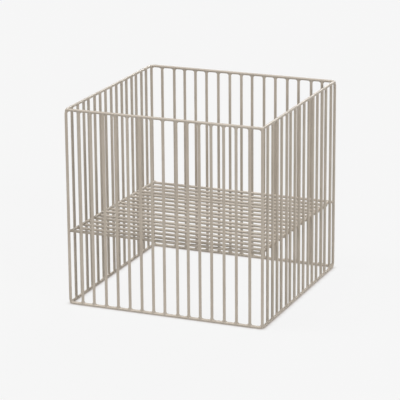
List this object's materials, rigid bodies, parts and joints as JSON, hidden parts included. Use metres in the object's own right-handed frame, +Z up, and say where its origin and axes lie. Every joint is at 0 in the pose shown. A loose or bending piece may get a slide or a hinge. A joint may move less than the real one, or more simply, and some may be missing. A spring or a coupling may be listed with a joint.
{
  "type": "square wire basket",
  "caption": "Square open-topped basket of welded, powder-coated wire bars between a top and a bottom ring, with a raised wire shelf as its floor and open space below it.",
  "frame": {"origin": "on the floor, under the middle of the basket", "axes": "+Z up, out of the open top; +X to the right seen from the front; +Y from the front to the back"},
  "size_m": [0.3, 0.3, 0.29],
  "materials": {
    "coated_wire": "satin powder coat, warm grey-beige"
  },
  "bodies": {
    "root": {"bottom_ring": "coated_wire", "top_ring": "coated_wire", "corner_post_front_left": "coated_wire", "corner_post_front_right": "coated_wire", "corner_post_back_left": "coated_wire", "corner_post_back_right": "coated_wire", "front_upright_01": "coated_wire", "front_upright_02": "coated_wire", "front_upright_03": "coated_wire", "front_upright_04": "coated_wire", "front_upright_05": "coated_wire", "front_upright_06": "coated_wire", "front_upright_07": "coated_wire", "front_upright_08": "coated_wire", "front_upright_09": "coated_wire", "front_upright_10": "coated_wire", "front_upright_11": "coated_wire", "front_upright_12": "coated_wire", "front_upright_13": "coated_wire", "front_upright_14": "coated_wire", "front_upright_15": "coated_wire", "back_upright_01": "coated_wire", "back_upright_02": "coated_wire", "back_upright_03": "coated_wire", "back_upright_04": "coated_wire", "back_upright_05": "coated_wire", "back_upright_06": "coated_wire", "back_upright_07": "coated_wire", "back_upright_08": "coated_wire", "back_upright_09": "coated_wire", "back_upright_10": "coated_wire", "back_upright_11": "coated_wire", "back_upright_12": "coated_wire", "back_upright_13": "coated_wire", "back_upright_14": "coated_wire", "back_upright_15": "coated_wire", "side_rib_01": "coated_wire", "side_rib_02": "coated_wire", "side_rib_03": "coated_wire", "side_rib_04": "coated_wire", "side_rib_05": "coated_wire", "side_rib_06": "coated_wire", "side_rib_07": "coated_wire", "side_rib_08": "coated_wire", "side_rib_09": "coated_wire", "side_rib_10": "coated_wire", "side_rib_11": "coated_wire", "side_rib_12": "coated_wire", "side_rib_13": "coated_wire", "side_rib_14": "coated_wire", "side_rib_15": "coated_wire", "shelf_front_wire": "coated_wire", "shelf_back_wire": "coated_wire", "shelf_left_rail": "coated_wire", "shelf_right_rail": "coated_wire"}
  },
  "joints": []
}
